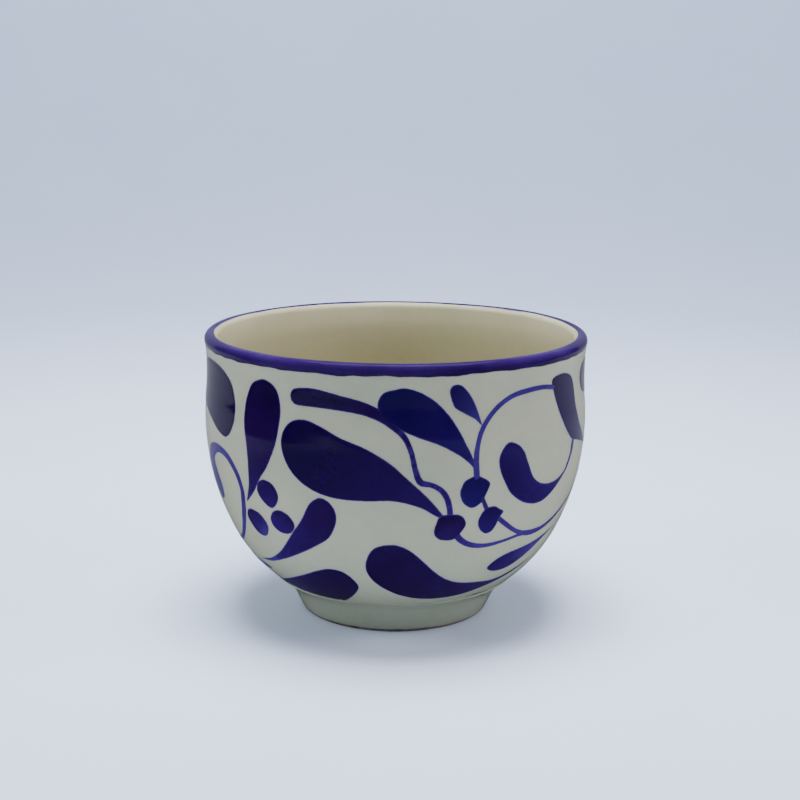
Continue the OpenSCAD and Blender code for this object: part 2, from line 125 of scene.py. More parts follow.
# The glaze fills the crease above the foot: how far up the bowl and down the foot it starts, and its curve
FILLET_UP = 3.4
FILLET_DOWN = 2.6
FILLET_PULL = 0.372
FILLET_STEPS = 15
FILLET_MIDDLE = 7
FOOT_SLOPE = (FOOT_TOP_D - FOOT_D) / 2 / FOOT_H


def arc_lengths(rows):
    """Distance along the half section from its first row to each row."""
    steps = np.linalg.norm(np.diff(rows[:, :2], axis=0), axis=1)
    return np.concatenate([[0.0], np.cumsum(steps)])


OUTER_S = arc_lengths(OUTER)


def section_row(rows, lengths, s):
    """The half section at arc length s: radius, height and normal."""
    row = np.array([np.interp(s, lengths, rows[:, k]) for k in range(4)])
    row[2:] /= np.linalg.norm(row[2:])
    return row


def with_normals(points):
    """Rows of radius, height and normal from points of a half section."""
    p = np.array(points, float)
    ahead = np.gradient(p, axis=0)
    ahead /= np.linalg.norm(ahead, axis=1)[:, None]
    return np.column_stack([p, -ahead[:, 1], ahead[:, 0]])


def fillet():
    """Points of the soft hollow where the glaze runs from the bowl onto the foot, from the bowl down."""
    start = section_row(OUTER, OUTER_S, FILLET_UP)
    down_bowl = np.array([start[3], -start[2]])
    end = np.array([FOOT_TOP_D / 2 - FOOT_SLOPE * FILLET_DOWN, FOOT_H - FILLET_DOWN])
    up_foot = np.array([FOOT_SLOPE, 1.0]) / math.hypot(FOOT_SLOPE, 1.0)
    pull = FILLET_PULL * np.linalg.norm(start[:2] - end)
    a, b, c, d = start[:2], start[:2] + down_bowl * pull, end + up_foot * pull, end
    return np.array([
        (1 - t) ** 3 * a + 3 * (1 - t) ** 2 * t * b + 3 * (1 - t) * t * t * c + t ** 3 * d
        for t in np.linspace(0, 1, FILLET_STEPS)
    ])


def foot_section():
    """Half section of the foot: its glazed outside, the bare clay it stands on, and the glazed hollow."""
    outer_r = FOOT_D / 2
    inner_r = outer_r - FOOT_RING_W
    outside = [(r, z) for r, z in fillet()[FILLET_MIDDLE:]]
    outside += [(outer_r + FOOT_SLOPE * z, z) for z in np.linspace(FOOT_H - FILLET_DOWN, 1.1, 14)[1:]]
    outside += [(outer_r + FOOT_SLOPE * 0.8 + 0.05, 0.95), (outer_r + FOOT_SLOPE * 0.8 - 0.04, 0.84)]
    bare = [
        (outer_r + FOOT_SLOPE * 1.0 - 0.12, 1.0), (outer_r + FOOT_SLOPE * 0.5 - 0.08, 0.5),
        (outer_r - 0.22, 0.18), (outer_r - 0.6, 0.02), (outer_r - 1.2, 0.0),
        (inner_r + 1.2, 0.0), (inner_r + 0.6, 0.03), (inner_r + 0.2, 0.2), (inner_r + 0.05, 0.55),
        (inner_r + 0.1, 1.0),
    ]
    hollow = [
        (inner_r + 0.05, 0.84), (inner_r - 0.22, 0.95), (inner_r - 0.3, 1.3), (inner_r - 0.3, 2.4),
        (inner_r - 0.4, 3.2), (inner_r - 0.9, 3.9), (inner_r - 1.6, 4.15),
    ]
    for r in np.linspace(inner_r - 2.4, 0.5, 26):
        turning_mark = 0.25 * math.exp(-(r / 2.2) ** 2)
        hollow.append((r, FOOT_HOLLOW - turning_mark))
    return outside, bare, hollow


# The bowl's glazed outside from the middle of the hollow above the foot up to the lip
SKIN = np.vstack([with_normals(fillet()[FILLET_MIDDLE::-1]), OUTER[OUTER_S > FILLET_UP]])
SKIN_S = arc_lengths(SKIN)


def smooth_noise(x, y, z, seed):
    """Smooth value between about -0.5 and 0.5; each seed gives its own field."""
    return noise.noise(Vector((x + 17.3 * seed, y - 5.1 * seed, z + 2.7 * seed)))


# Heights above the foot at which the wobble of the wall starts, and over which it grows
WOBBLE_FROM = 1.5
WOBBLE_FADE = 8.0


def hand_wobble(azimuth, height):
    """How far the thrown wall strays from its section, in millimetres: out of round, with faint throwing
    rings. It fades out above the foot."""
    x, y = math.sin(azimuth), -math.cos(azimuth)
    slow = 0.16 * smooth_noise(1.1 * x, 1.1 * y, height / 45.0, 1)
    ripple = 0.035 * smooth_noise(3.2 * x, 3.2 * y, height / 9.0, 2)
    ring = 0.012 * math.sin(height * 1.7 + azimuth + 2.0 * smooth_noise(x, y, height / 20.0, 3))
    above_foot = min(max((height - FOOT_H - WOBBLE_FROM) / WOBBLE_FADE, 0.0), 1.0)
    return above_foot * (slow + ripple + ring)


def surface_point(azimuth, row, offset, wobble=1.0):
    """A point over the section row [radius, height, normal], azimuth radians round from the front."""
    lift = offset + wobble * hand_wobble(azimuth, row[1])
    radius = row[0] + row[2] * lift
    height = row[1] + row[3] * lift
    return (radius * math.sin(azimuth) * MM, -radius * math.cos(azimuth) * MM, height * MM)


def skin_point(azimuth, height, offset):
    """A point over the bowl's outside glaze at a height in millimetres."""
    s = float(np.interp(height, SKIN[:, 1], SKIN_S))
    return surface_point(azimuth, section_row(SKIN, SKIN_S, s), offset)


# ---------------------------------------------------------------- meshes

SHARP_EDGE = math.radians(50)


def make_object(name, verts, faces, material, nodes):
    """A smooth mesh piece that rides on the cup and stands for the named CAD nodes."""
    mesh = bpy.data.meshes.new(name)
    mesh.from_pydata(verts, [], faces)
    mesh.update()
    mesh.shade_smooth()
    mesh.set_sharp_from_angle(angle=SHARP_EDGE)
    piece = bpy.data.objects.new(name, mesh)
    bpy.context.scene.collection.objects.link(piece)
    mesh.materials.append(material)
    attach(piece, "root")
    if nodes:
        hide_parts(*nodes)
    return piece


def float_attribute(piece, name, values):
    """A value at each vertex that the pigment's material reads."""
    layer = piece.data.attributes.new(name, "FLOAT", "POINT")
    layer.data.foreach_set("value", np.asarray(values, dtype=np.float32))


def ring_grid(rows, count, point, close_rows=False):
    """Vertices and quads of a surface of `rows` rings with `count` points each.
    point(row, azimuth) places one vertex."""
    verts = []
    for row in rows:
        for k in range(count):
            verts.append(point(row, 2 * math.pi * k / count))
    faces = []
    total = len(rows)
    for i in range(total if close_rows else total - 1):
        j = (i + 1) % total
        for k in range(count):
            n = (k + 1) % count
            faces.append((i * count + k, i * count + n, j * count + n, j * count + k))
    return verts, faces


def shell(rows, depth, count):
    """A closed skin: the given section rows outside, and the same rows `depth` further in."""
    loop = [(row, 0.0) for row in rows] + [(row, -depth) for row in rows[::-1]]
    return ring_grid(loop, count, lambda item, a: surface_point(a, item[0], item[1]), close_rows=True)


# ---------------------------------------------------------------- brush marks
# Points are [degrees round the cup from the front, height] on a closed outline,
# or [degrees, height, width] along a vine.

LEAVES = {
    "edge_leaf_left": [
        (-52.3, 50.5), (-53.5, 46.5), (-57, 44), (-62, 44.3), (-70, 46.5), (-80, 48), (-92, 47.5),
        (-102, 44.5), (-96, 51), (-86, 56.5), (-76, 59), (-66, 59.2), (-59, 58), (-54.5, 55.5),
    ],
    "tall_leaf": [
        (-39, 58.5), (-35.2, 57), (-33.6, 53.5), (-33.8, 49.5), (-35.2, 44.8), (-38.5, 40),
        (-41.5, 37.3), (-45, 33.8), (-50, 30.8), (-47.4, 35), (-46.6, 40), (-46.9, 44),
        (-48, 48.5), (-47.6, 53), (-45.2, 56.8), (-42, 58.2),
    ],
    "berry_high": [
        (-39.6, 37.3), (-36.6, 36.4), (-35.2, 34.2), (-36.6, 31.9), (-39, 30.9), (-42.2, 32.2),
        (-43.8, 34.4), (-42.4, 36.6),
    ],
    "berry_low": [
        (-48, 29.5), (-44.4, 28.8), (-42.2, 26.4), (-44, 23.9), (-47, 23.3), (-50, 24.3),
        (-52, 27), (-50.6, 29),
    ],
    "berry_side": [
        (-35.6, 31), (-32.4, 30), (-31, 27.9), (-33, 25.9), (-36.4, 25.3), (-39.4, 26.2),
        (-40.5, 28.2), (-38.6, 30.3),
    ],
    "low_leaf": [
        (-21.5, 35.3), (-18.4, 34.4), (-16.7, 32), (-17.3, 29.2), (-20, 26), (-25, 23.6),
        (-32, 21), (-40, 18.6), (-49, 16.6), (-58, 16.1), (-49, 17.6), (-42, 20), (-37, 22.9),
        (-32.5, 26.3), (-28.5, 29.6), (-25, 33.6),
    ],
    "base_leaf_left": [
        (-13, 13.8), (-14.6, 16.3), (-18, 18), (-22.5, 18.3), (-28, 17.2), (-36, 15), (-45, 12.9),
        (-54, 11.2), (-64, 9.6), (-52, 8.6), (-42, 7.5), (-34, 7.1), (-27, 7.5), (-21, 9),
        (-16, 11.2),
    ],
    "great_leaf": [
        (-33.3, 46), (-32.4, 48.8), (-29.8, 50.8), (-25.5, 51.4), (-20.5, 50.3), (-15, 48.4),
        (-9, 46.8), (-4, 44.9), (0, 42.8), (4, 40), (8, 37.2), (12, 34), (15, 31), (12, 31.7),
        (8, 33.5), (4, 34.6), (-1, 35.3), (-8, 35.1), (-15, 35.2), (-21, 35.9), (-26, 37.5),
        (-30, 40), (-32.4, 43),
    ],
    "upper_leaf": [
        (-4.9, 55.2), (-3.4, 57.7), (0, 58.6), (3, 58.9), (7, 58), (11, 56.2), (14.5, 53.6),
        (17.5, 50.5), (20, 47), (22, 44), (23.2, 41), (20.5, 43), (17, 45), (12, 47), (7, 48.4),
        (3, 49.6), (0, 50.8), (-3.4, 52.6),
    ],
    "small_leaf": [
        (15, 57.8), (16, 59.2), (18.4, 59.2), (20.8, 57.4), (23, 54.6), (24.8, 50.4),
        (22.5, 51.8), (19.5, 53.1), (16.4, 54.6),
    ],
    "side_leaf": [
        (50.7, 57.4), (53, 58.4), (58, 58.4), (62.5, 57.2), (65.2, 54.5), (66.5, 50.8),
        (68.5, 47.5), (72, 44.5), (77, 41.8), (84, 39.4), (75, 40.8), (68, 42.3), (63, 43.2),
        (59.5, 45.3), (56.5, 48), (54, 51.3), (52, 54.6),
    ],
    "curl": [
        (33.3, 46.4), (31, 45), (30, 43), (30.6, 40.5), (32.5, 37.8), (35, 35.2), (39, 33),
        (43, 31.8), (47, 31.3), (51.5, 31.8), (57, 34.3), (61.5, 37.2), (64.2, 40.4), (65, 43.4),
        (63, 43.4), (62, 40), (59, 36.8), (54.5, 35.5), (49.5, 35.6), (46, 36.5), (43.2, 38.2),
        (40.8, 41.4), (39, 44), (36.4, 45.8),
    ],
    "bead_high": [
        (20, 39.4), (23, 40.2), (25.5, 39.6), (27.8, 38.2), (26.9, 36), (25.7, 34.2), (22.8, 33),
        (19.8, 34.2), (18.5, 36.3), (18.8, 38),
    ],
    "bead_low": [
        (27.2, 32.7), (29.8, 33), (32, 32.2), (33.8, 31.3), (32.6, 30), (32, 28.4), (30.6, 26.9),
        (28.3, 26.6), (26, 28), (25.1, 29.8), (25.9, 31.6),
    ],
    "bead_left": [
        (13, 31.8), (16, 32.2), (19.3, 31.8), (21, 30.6), (21.5, 29.2), (20.3, 27.6),
        (18.5, 26.2), (16, 25.9), (13.3, 26.4), (11.7, 27.8), (12, 30),
    ],
    "point_leaf": [
        (33.8, 17.6), (36.2, 19.4), (40.5, 20.5), (46, 20.9), (52, 21.3), (58, 22), (66, 23.2),
        (59.5, 21), (55, 19.2), (50, 17.3), (45, 16.1), (40, 15.9), (36, 16.4),
    ],
    "base_leaf": [
        (-9.4, 18.8), (-8.9, 21.5), (-6.6, 24.2), (-3, 25.3), (1, 25.3), (5, 24), (9.5, 21.2),
        (14, 18.3), (19, 16), (25, 14.6), (33, 13.9), (41, 13.5), (48, 14.2), (54, 15.4),
        (61, 17.6), (54, 14.4), (47, 12.9), (40, 11.7), (31, 10.4), (22, 9.9), (14, 10),
        (7, 10.7), (1, 12), (-4, 13.8), (-7.8, 16.2),
    ],
    "edge_leaf_right": [
        (70.5, 55.8), (72, 58.3), (76, 59.3), (83, 58.6), (92, 55.8), (101, 51.2), (108, 46.5),
        (100, 48.2), (90, 50), (81, 51), (74, 52.2),
    ],
    "base_dab": [
        (36, 8.5), (39.5, 9.3), (45, 9), (53, 8.5), (61, 8.4), (53, 7.5), (46, 7), (41, 6.9),
        (37.5, 7.3),
    ],
    "side_bud": [
        (84.5, 35), (86, 38.5), (88.5, 41.6), (92, 43), (95, 41.6), (95.3, 38.6), (92.5, 36.6),
        (88, 35.4),
    ],
    "side_low": [
        (78, 19.4), (82, 21.4), (86, 24.2), (90, 26.2), (94, 25.8), (96, 23.4), (94, 21),
        (89, 19.6), (84, 18.9),
    ],
}

VINES = {
    "hook_vine": [
        (-70, 31.5, 7), (-72, 35.5, 6.4), (-70, 38.8, 4), (-64, 40.6, 2.2), (-57.5, 39.9, 1.9),
        (-53, 37, 1.9), (-51.3, 33.5, 1.8), (-52.3, 30, 1.9), (-54.8, 26.4, 1.8), (-59, 22.8, 1.4),
        (-65, 20, 1.2), (-73, 18.3, 1), (-82, 17.6, 0.8),
    ],
    "slim_leaf": [
        (-28, 55.9, 3.8), (-23, 56, 4.1), (-16, 55.4, 3.4), (-9, 54.5, 2.9), (-4, 53, 2.4),
        (0, 50.7, 1.6), (2.8, 48.6, 1.4), (4.6, 45.5, 1.3), (5.7, 42, 1.4), (7.2, 39.4, 1.6),
        (10.5, 38.7, 1.3), (13.5, 37.2, 1.4), (15.3, 34.8, 1.5), (16.3, 31.5, 1.5),
    ],
    "loop_vine": [
        (23.3, 39.6, 1.6), (22.9, 43.5, 1.5), (23.3, 46.5, 1.3), (24.5, 49.3, 1.3), (27, 52, 1.3),
        (30.5, 54.3, 1.3), (35, 55.9, 1.3), (41, 56.5, 1.3), (47, 56.5, 1.2), (53, 55.8, 1.2),
    ],
    "bead_stem": [(25.4, 35.4, 1.2), (26.6, 33.6, 1.2), (28.2, 31.6, 1.4)],
    "trail_vine": [
        (31.5, 30.3, 1.3), (35, 28.4, 1.3), (39, 26.5, 1.2), (43.5, 25, 1.3), (49, 24.3, 1.6),
        (55, 24.5, 1.4), (61, 25.6, 1.3), (67, 27.4, 1.2), (73, 29.8, 1), (79, 32.6, 0.8),
        (83, 34.2, 0.7),
    ],
    "under_vine": [
        (18.4, 27.6, 1.8), (20.6, 25.8, 1.6), (24.5, 24.3, 1.4), (30, 23.7, 1.2), (36.5, 24, 1),
        (42, 24.5, 1), (47, 24.5, 1),
    ],
    "thin_tail": [
        (-55, 13.9, 0.8), (-60, 14, 1.4), (-67, 13.9, 1.8), (-75, 14, 1.4), (-84, 14.6, 0.8),
    ],
}

# CAD node ending, the outlines in it, and where its brush was lifted (degrees, height)
MARKS = [
    ("tall_leaf", ["tall_leaf"], (-50, 31)),
    ("hook_vine", ["hook_vine"], (-82, 17.6)),
    ("berries", ["berry_high", "berry_low", "berry_side"], (-41, 20)),
    ("low_leaf", ["low_leaf"], (-58, 16)),
    ("base_leaf_left", ["base_leaf_left"], (-64, 9.6)),
    ("slim_leaf", ["slim_leaf"], (16, 31)),
    ("great_leaf", ["great_leaf"], (15, 31)),
    ("upper_leaf", ["upper_leaf"], (23, 41)),
    ("small_leaf", ["small_leaf"], (24.8, 50.4)),
    ("loop_vine", ["loop_vine"], (53, 56)),
    ("side_leaf", ["side_leaf"], (84, 39.4)),
    ("curl", ["curl"], (64, 43)),
    ("bead_high", ["bead_high"], (22, 30)),
    ("bead_low", ["bead_low", "bead_stem"], (28, 24)),
    ("bead_left", ["bead_left"], (16, 23)),
    ("trail_vine", ["trail_vine"], (83, 34)),
    ("under_vine", ["under_vine"], (47, 24.5)),
    ("point_leaf", ["point_leaf"], (66, 23)),
    ("base_leaf", ["base_leaf"], (61, 17.6)),
    ("thin_tail", ["thin_tail"], (-84, 14.6)),
    ("base_dab", ["base_dab"], (61, 8.4)),
]
SIDE_MARKS = [
    ("side_leaf_left", ["edge_leaf_left"], (-102, 44.5), 0),
    ("side_leaf_right", ["edge_leaf_right"], (108, 46.5), 0),
    ("side_bud_right", ["side_bud"], (84.5, 35), 0),
    ("side_bud_left", ["side_bud"], (84.5, 35), 180),
    ("side_low_leaf_right", ["side_low"], (78, 19.4), 0),
    ("side_low_leaf_left", ["side_low"], (78, 19.4), 180),
]
FRONT_ONLY = {"thin_tail"}

# Head of each mark: how thin its pigment lies (0 is a full brush, 0.7 a thin line), and how navy it fired
PIGMENT = {
    "tall_leaf": (0.05, 0.0), "hook_vine": (0.75, 0.0), "berries": (0.4, 0.0), "low_leaf": (0.3, 0.0),
    # base_leaf_left lies thinner than the leaves beside it partly as painted reflection: lighter, for the
    # veil of gloss on its left end.
    "base_leaf_left": (0.15, 0.0), "slim_leaf": (0.1, 0.0), "great_leaf": (0.0, 0.1),
    "upper_leaf": (0.1, 0.4), "small_leaf": (0.3, 0.35), "loop_vine": (0.75, 0.1), "side_leaf": (0.1, 0.0),
    "curl": (0.35, 0.2), "bead_high": (0.3, 0.5), "bead_low": (0.3, 0.3), "bead_left": (0.15, 0.0),
    "trail_vine": (0.7, 0.0), "under_vine": (0.65, 0.0), "point_leaf": (0.5, 0.0), "base_leaf": (0.15, 0.0),
    "thin_tail": (0.75, 0.0), "base_dab": (0.0, 0.0), "side_leaf_left": (0.0, 0.0),
    "side_leaf_right": (0.1, 0.0), "side_bud_right": (0.3, 0.2), "side_bud_left": (0.3, 0.2),
    "side_low_leaf_right": (0.3, 0.0), "side_low_leaf_left": (0.3, 0.0),
}


def curve_point(a, b, c, d, t):
    """A point between b and c on a smooth curve through a, b, c and d."""
    return (b + 0.5 * t * (c - a) + t * t * (a - 2.5 * b + 2 * c - 0.5 * d)
            + t ** 3 * (1.5 * (b - c) + 0.5 * (d - a)))


def leaf_outline(points, steps=8):
    """Closed smooth outline through points of [degrees, height]."""
    p = np.array(points, float)
    n = len(p)
    return np.array([
        curve_point(p[i - 1], p[i], p[(i + 1) % n], p[(i + 2) % n], s / steps)
        for i in range(n) for s in range(steps)
    ])


def vine_outline(points, steps=6):
    """Closed outline of a stroke through points of [degrees, height, width], with round ends."""
    p = np.array(points, float)
    last = len(p) - 1
    stations = [
        curve_point(p[max(i - 1, 0)], p[i], p[i + 1], p[min(i + 2, last)], s / steps)
        for i in range(last) for s in range(steps)
    ]
    stations = np.array(stations + [p[last]])
    flat = stations[:, :2] * [DEGREE, 1]
    ahead = np.gradient(flat, axis=0)
    ahead /= np.linalg.norm(ahead, axis=1)[:, None]
    side = np.stack([-ahead[:, 1], ahead[:, 0]], 1)
    half = stations[:, 2:3] / 2
    turns = np.linspace(math.pi / 2, -math.pi / 2, 7)[1:-1]
    end = [flat[-1] + half[-1] * (math.cos(t) * ahead[-1] + math.sin(t) * side[-1]) for t in turns]
    start = [flat[0] + half[0] * (-math.cos(t) * ahead[0] - math.sin(t) * side[0]) for t in turns]
    edge = np.concatenate([flat + half * side, end, (flat - half * side)[::-1], start])
    return edge / [DEGREE, 1]


def even_spacing(flat, spacing):
    """The closed outline again, with points about `spacing` apart."""
    closed = np.vstack([flat, flat[:1]])
    steps = np.linalg.norm(np.diff(closed, axis=0), axis=1)
    along = np.concatenate([[0], np.cumsum(steps)])
    count = max(12, int(along[-1] / spacing))
    places = np.linspace(0, along[-1], count, endpoint=False)
    return np.stack([np.interp(places, along, closed[:, k]) for k in range(2)], 1)


def edge_distance(points, outline):
    """Distance in millimetres from each point to the closed outline, both on the unrolled wall."""
    a = outline
    b = np.roll(outline, -1, axis=0)
    run = b - a
    length = (run ** 2).sum(1)
    gap = points[:, None, :] - a[None]
    t = np.clip((gap * run[None]).sum(2) / length[None], 0, 1)
    near = a[None] + t[..., None] * run[None]
    return np.sqrt(((points[:, None, :] - near) ** 2).sum(2)).min(1)


def inside_outline(points, outline):
    """Which points lie inside the closed outline."""
    x, y = points[:, 0:1], points[:, 1:2]
    a = outline[None]
    b = np.roll(outline, -1, axis=0)[None]
    crosses = (a[..., 1] > y) != (b[..., 1] > y)
    slope = (b[..., 0] - a[..., 0]) / np.where(b[..., 1] == a[..., 1], 1e-9, b[..., 1] - a[..., 1])
    return (crosses & (x < a[..., 0] + slope * (y - a[..., 1]))).sum(1) % 2 == 1


# Mesh of a mark: rows of points this far behind its edge, then an even net that starts a little further in
EDGE_ROWS = (0.12, 0.3)
NET_MARGIN = 0.55


def pad(outline, grid=0.7, spacing=0.3):
    """Triangles filling an outline on the unrolled wall, with rows of points close behind its edge.
    Gives points (unrolled millimetres), distance of each from the edge, and triangles."""
    edge = even_spacing(outline * [DEGREE, 1], spacing)
    low, high = edge.min(0), edge.max(0)
    xs = np.arange(low[0], high[0], grid)
    ys = np.arange(low[1], high[1], grid * 0.87)
    net = [(x + (grid / 2 if j % 2 else 0), y) for j, y in enumerate(ys) for x in xs]
    net = np.array(net) if net else np.zeros((0, 2))
    net = net[inside_outline(net, edge)]
    net = net[edge_distance(net, edge) > NET_MARGIN]
    tangent = np.roll(edge, -1, axis=0) - np.roll(edge, 1, axis=0)
    tangent /= np.linalg.norm(tangent, axis=1)[:, None]
    area = (edge[:, 0] * np.roll(edge[:, 1], -1) - np.roll(edge[:, 0], -1) * edge[:, 1]).sum()
    inward = np.stack([-tangent[:, 1], tangent[:, 0]], 1) * np.sign(area)
    rows = [net]
    for depth in EDGE_ROWS:
        row = edge + inward * depth
        keep = inside_outline(row, edge)
        keep &= edge_distance(row, edge) > depth * 0.8
        rows.append(row[keep])
    inner = np.concatenate(rows)
    points = np.concatenate([edge, inner])
    rim = [(i, (i + 1) % len(edge)) for i in range(len(edge))]
    result = delaunay_2d_cdt([Vector(p) for p in points], rim, [], 1, 1e-5)
    flat = np.array([tuple(v) for v in result[0]])
    return flat, edge_distance(flat, edge), [tuple(f) for f in result[2]]


# Height of the pigment over the glaze at its edge and inside, how far in it reaches that, and how far down
# it is sunk
PIGMENT_EDGE = 0.015
PIGMENT_RISE = 0.05
PIGMENT_SHOULDER = 0.5
PIGMENT_SINK = 0.04
# Marks that touch lie at slightly different heights, so that no two share a surface
LAYER_STEP = 0.003
LAYERS = 5


def pigment_height(depth):
    """Height of the pigment over the glaze at a distance in from its edge."""
    return PIGMENT_EDGE + PIGMENT_RISE * np.clip(depth / PIGMENT_SHOULDER, 0, 1) ** 0.7


def mark_mesh(outlines, tail, turn, seed):
    """One brush mark as a closed thin pad on the glaze, with its edge distance and flow at each vertex."""
    verts, faces, edges, flows = [], [], [], []
    tail_flat = np.array([tail[0] * DEGREE, tail[1]])
    for k, outline in enumerate(outlines):
        flat, depth, triangles = pad(outline)
        base = len(verts)
        reach = np.linalg.norm(flat - tail_flat, axis=1)
        flow = 1 - np.clip(reach / max(reach.max(), 1e-6), 0, 1)
        lift = pigment_height(depth) + LAYER_STEP * ((seed + k) % LAYERS)
        azimuths = [math.radians(x / DEGREE + turn) for x, height in flat]
        for azimuth, height, up in zip(azimuths, flat[:, 1], lift):
            verts.append(skin_point(azimuth, height, float(up)))
        count = len(flat)
        for azimuth, height in zip(azimuths, flat[:, 1]):
            verts.append(skin_point(azimuth, height, -PIGMENT_SINK))
        for a, b, c in triangles:
            faces.append((base + a, base + b, base + c))
            faces.append((base + count + c, base + count + b, base + count + a))
        border = {}
        for a, b, c in triangles:
            for pair in ((a, b), (b, c), (c, a)):
                if (pair[1], pair[0]) in border:
                    del border[(pair[1], pair[0])]
                else:
                    border[pair] = True
        for a, b in border:
            faces.append((base + b, base + a, base + count + a, base + count + b))
        edges += list(depth) + [0.0] * count
        flows += list(flow) * 2
    return verts, faces, edges, flows


# ---------------------------------------------------------------- colours and nodes

def linear(code):
    """sRGB hex to linear colour."""
    code = code.lstrip("#")
    parts = [int(code[i:i + 2], 16) / 255 for i in (0, 2, 4)]
    return tuple(v / 12.92 if v <= 0.04045 else ((v + 0.055) / 1.055) ** 2.4 for v in parts)


def rgba(colour):
    return (*tuple(colour)[:3], 1.0)


def add(tree, kind, settings=None, links=None, stops=None):
    """Adds a node: settings go to its properties or its sockets, links join other outputs to its sockets."""
    made = tree.nodes.new(kind)
    for key, value in (settings or {}).items():
        if isinstance(key, str) and key.islower():
            setattr(made, key, value)
        else:
            made.inputs[key].default_value = value
    for key, source in (links or {}).items():
        tree.links.new(source, made.inputs[key])
    if stops:
        ramp = made.color_ramp
        while len(ramp.elements) > 1:
            ramp.elements.remove(ramp.elements[0])
        ramp.elements[0].position = stops[0][0]
        ramp.elements[0].color = rgba(stops[0][1])
        for place, colour in stops[1:]:
            ramp.elements.new(place).color = rgba(colour)
    return made


def grey(value):
    """A neutral colour for a ramp that gives a plain number."""
    return (value, value, value)


def new_material(name, settings):
    """A material with one Principled shader; returns it, its tree, the shader and object coordinates."""
    material = bpy.data.materials.new(name)
    material.use_nodes = True
    tree = material.node_tree
    tree.nodes.clear()
    shader = add(tree, "ShaderNodeBsdfPrincipled", settings)
    add(tree, "ShaderNodeOutputMaterial", links={"Surface": shader.outputs[0]})
    place = add(tree, "ShaderNodeTexCoord").outputs["Object"]
    return material, tree, shader, place


def noise_of(size_mm):
    """Noise scale for features of about this size, in a scene in metres."""
    return 1.0 / (size_mm * MM)


def glaze_material(name, pale, deep, pool_and_shade_colour, low_mm, high_mm, gloss):
    """Stoneware glaze, dipped and fired: soft cream, greyer or greener from high_mm down to low_mm and
    below; on the outside that is glaze lying thicker towards the foot, inside the bowl it is painted shade,
    darker down in the bowl than in the strip at the lip. A few iron specks, and a glossy skin with the slow
    waves of a melted surface."""
    material, tree, shader, place = new_material(name, {"IOR": 1.5})
    clouds = add(tree, "ShaderNodeTexNoise", {"Scale": noise_of(14), "Detail": 4.0}, {"Vector": place})
    mottle = add(tree, "ShaderNodeTexNoise", {"Scale": noise_of(1.6), "Detail": 3.0}, {"Vector": place})
    tone = add(tree, "ShaderNodeValToRGB", None, {"Fac": clouds.outputs["Fac"]},
               [(0.32, pale), (0.68, deep)])
    height = add(tree, "ShaderNodeSeparateXYZ", None, {"Vector": place})
    # Share of the second colour, growing downwards, and its mix pooled: pooled glaze on the outside, painted
    # shade inside the bowl.
    pool_and_shade_share = add(tree, "ShaderNodeMapRange", {
        "From Min": low_mm * MM, "From Max": high_mm * MM, "To Min": 1.0, "To Max": 0.0,
        "interpolation_type": "SMOOTHSTEP",
    }, {"Value": height.outputs["Z"]})
    pooled = add(tree, "ShaderNodeMix", {"data_type": "RGBA", 7: rgba(pool_and_shade_colour)}, {
        0: pool_and_shade_share.outputs["Result"], 6: tone.outputs["Color"]})
    fine = add(tree, "ShaderNodeMix", {"data_type": "RGBA", "blend_type": "MULTIPLY", 0: 0.12}, {
        6: pooled.outputs[2], 7: mottle.outputs["Color"]})
    cells = add(tree, "ShaderNodeTexVoronoi", {"Scale": noise_of(7.0)}, {"Vector": place})
    speck = add(tree, "ShaderNodeValToRGB", None, {"Fac": cells.outputs["Distance"]},
                [(0.0, grey(0.55)), (0.016, grey(0.0))])
    spotted = add(tree, "ShaderNodeMix", {"data_type": "RGBA", 7: rgba(linear("#5b5340"))}, {
        0: speck.outputs["Color"], 6: fine.outputs[2]})
    tree.links.new(spotted.outputs[2], shader.inputs["Base Color"])
    rough = add(tree, "ShaderNodeMapRange", {"To Min": gloss, "To Max": gloss * 1.9}, {
        "Value": clouds.outputs["Fac"]})
    tree.links.new(rough.outputs["Result"], shader.inputs["Roughness"])
    waves = add(tree, "ShaderNodeTexNoise", {"Scale": noise_of(5.0), "Detail": 2.0}, {"Vector": place})
    slow = add(tree, "ShaderNodeBump", {"Strength": 0.5, "Distance": 0.04 * MM}, {
        "Height": waves.outputs["Fac"]})
    peel = add(tree, "ShaderNodeBump", {"Strength": 0.35, "Distance": 0.006 * MM}, {
        "Height": mottle.outputs["Fac"], "Normal": slow.outputs["Normal"]})
    tree.links.new(peel.outputs["Normal"], shader.inputs["Normal"])
    return material


